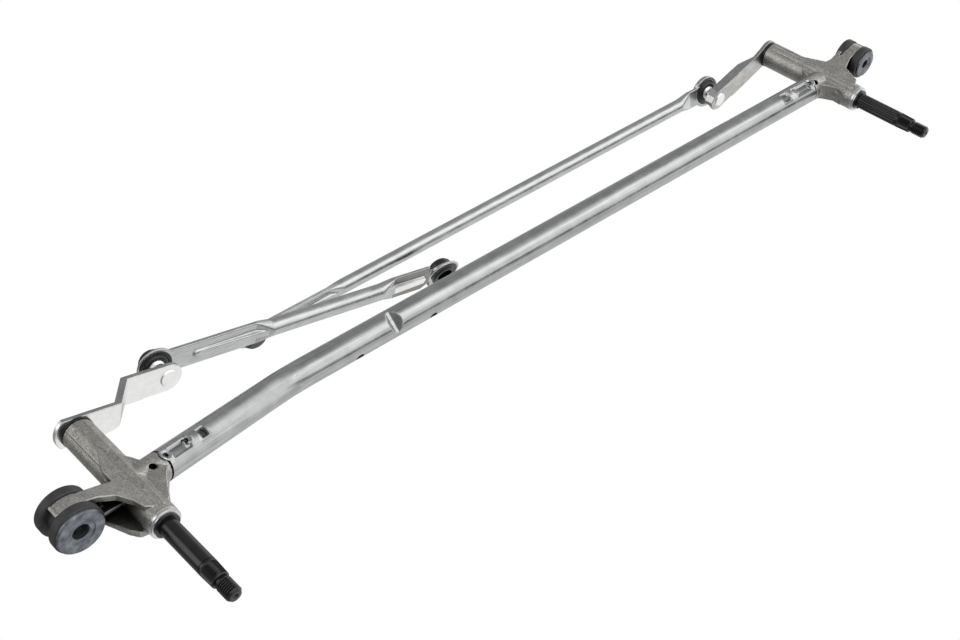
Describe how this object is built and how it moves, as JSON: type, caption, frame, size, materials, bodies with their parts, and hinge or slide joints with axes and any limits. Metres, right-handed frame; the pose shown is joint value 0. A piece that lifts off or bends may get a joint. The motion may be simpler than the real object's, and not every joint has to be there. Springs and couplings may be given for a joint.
{
  "type": "windscreen wiper linkage",
  "caption": "Bent tube wiper frame with die-cast pivot housings on rubber grommets, lever spindles with ball studs, and pressed tube links ending in free ball sockets for a motor crank.",
  "frame": {"origin": "on the axis of the left fixing sleeve, at the middle of the ear that its grommet grips", "axes": "+Z along the spindles and fixing sleeves towards the wiper arms, +X from the left spindle to the right one, +Y up in the picture"},
  "size_m": [0.7694, 0.1034, 0.2229],
  "materials": {
    "galvanised": "zinc-coated tube",
    "casting": "die cast, satin",
    "zinc_plate": "zinc plated, satin",
    "washer_steel": "bright plated",
    "black_shaft": "black oxide",
    "sleeve_steel": "plain, satin",
    "rubber": "matte black",
    "black_plastic": "moulded, satin"
  },
  "bodies": {
    "frame": {"main_tube": "galvanised", "left_housing": "casting", "right_housing": "casting", "left_grommet": "rubber", "right_grommet": "rubber", "left_sleeve": "sleeve_steel", "right_sleeve": "sleeve_steel"},
    "left_spindle_group": {"left_spindle": "black_shaft", "left_lever": "zinc_plate", "left_ball_stud": "zinc_plate", "left_thrust_ring": "black_plastic", "left_washer": "washer_steel", "left_spring_washer": "washer_steel", "left_circlip": "black_shaft"},
    "right_spindle_group": {"right_spindle": "black_shaft", "right_lever": "zinc_plate", "right_ball_stud": "zinc_plate", "right_thrust_ring": "black_plastic", "right_washer": "washer_steel", "right_spring_washer": "washer_steel", "right_circlip": "black_shaft"},
    "short_link_group": {"short_link": "galvanised", "short_link_lever_socket": "black_plastic", "short_link_motor_socket": "black_plastic"},
    "long_link_group": {"long_link": "galvanised", "long_link_lever_socket": "black_plastic", "long_link_motor_socket": "black_plastic"}
  },
  "joints": [
    {"name": "left_spindle_turn", "type": "hinge", "parent": "frame", "child": "left_spindle_group", "pos_m": [0.0393, -0.0074, -0.01475], "axis": [0, 0, -1], "range_deg": [0, 95]},
    {"name": "right_spindle_turn", "type": "hinge", "parent": "frame", "child": "right_spindle_group", "pos_m": [0.7069, -0.0074, -0.01475], "axis": [0, 0, -1], "range_deg": [0, 95]},
    {"name": "short_link_swing", "type": "hinge", "parent": "left_spindle_group", "child": "short_link_group", "pos_m": [0.11307, -0.02566, -0.09535], "axis": [0, 0, -1], "range_deg": [0, 45]},
    {"name": "long_link_swing", "type": "hinge", "parent": "right_spindle_group", "child": "long_link_group", "pos_m": [0.64635, -0.02813, -0.07635], "axis": [0, 0, -1], "range_deg": [0, 45]}
  ]
}
